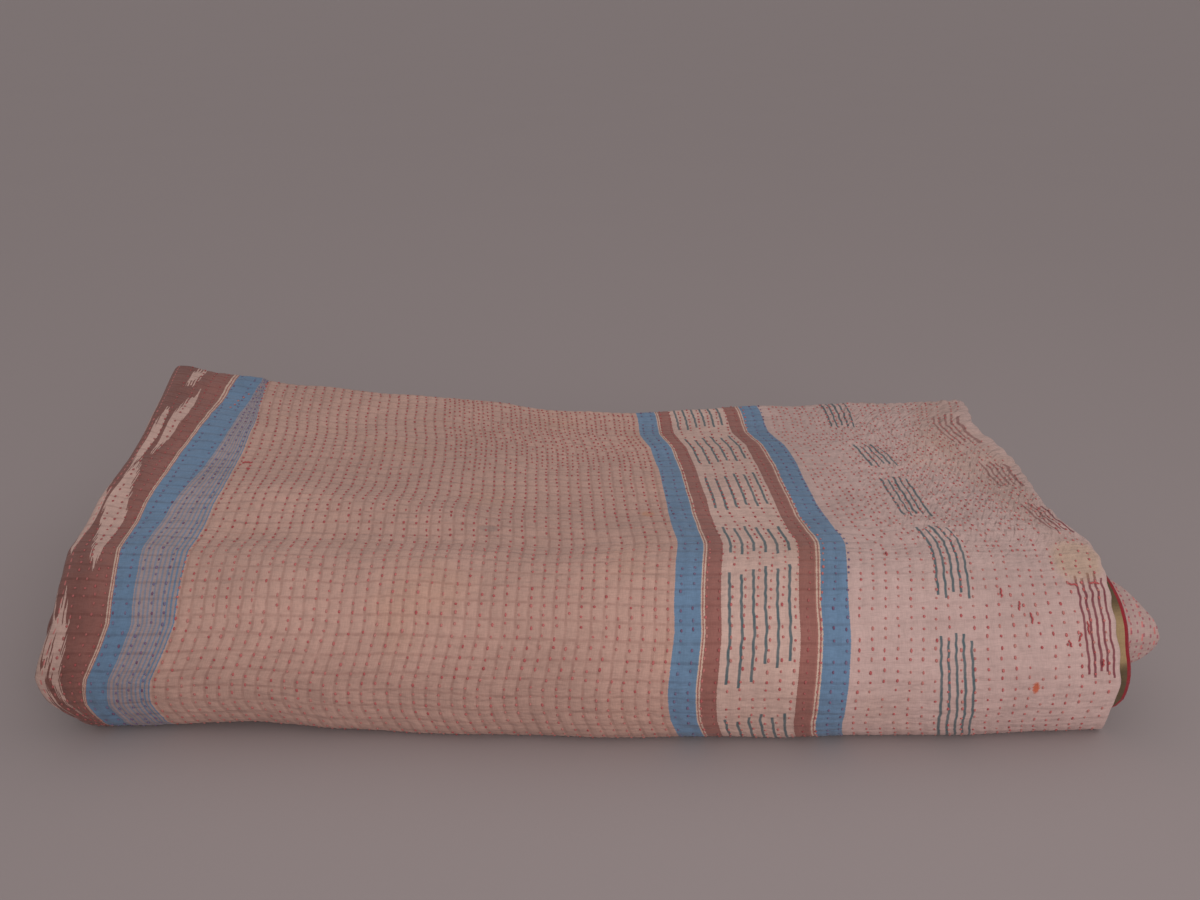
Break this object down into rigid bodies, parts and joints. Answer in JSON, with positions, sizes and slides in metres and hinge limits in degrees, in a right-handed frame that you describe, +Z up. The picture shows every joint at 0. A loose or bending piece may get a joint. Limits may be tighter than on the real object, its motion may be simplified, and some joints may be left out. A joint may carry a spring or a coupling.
{
  "type": "folded kantha quilt",
  "caption": "Soft stitched cotton kantha quilt with woven stripe borders, folded into a long flat bundle with a rounded front fold.",
  "frame": {"origin": "centre of the bounding box's base, on the surface that the folded quilt rests on", "axes": "+X along the bundle's length to the side of the open hems, +Y from the rounded front fold to the back, +Z up"},
  "size_m": [0.8253, 0.421, 0.1558],
  "materials": {
    "kantha_cotton": "soft matt hand-stitched cotton, checked beige and pale pink with blue and brown borders"
  },
  "bodies": {
    "root": {"quilt": "kantha_cotton"}
  },
  "joints": []
}
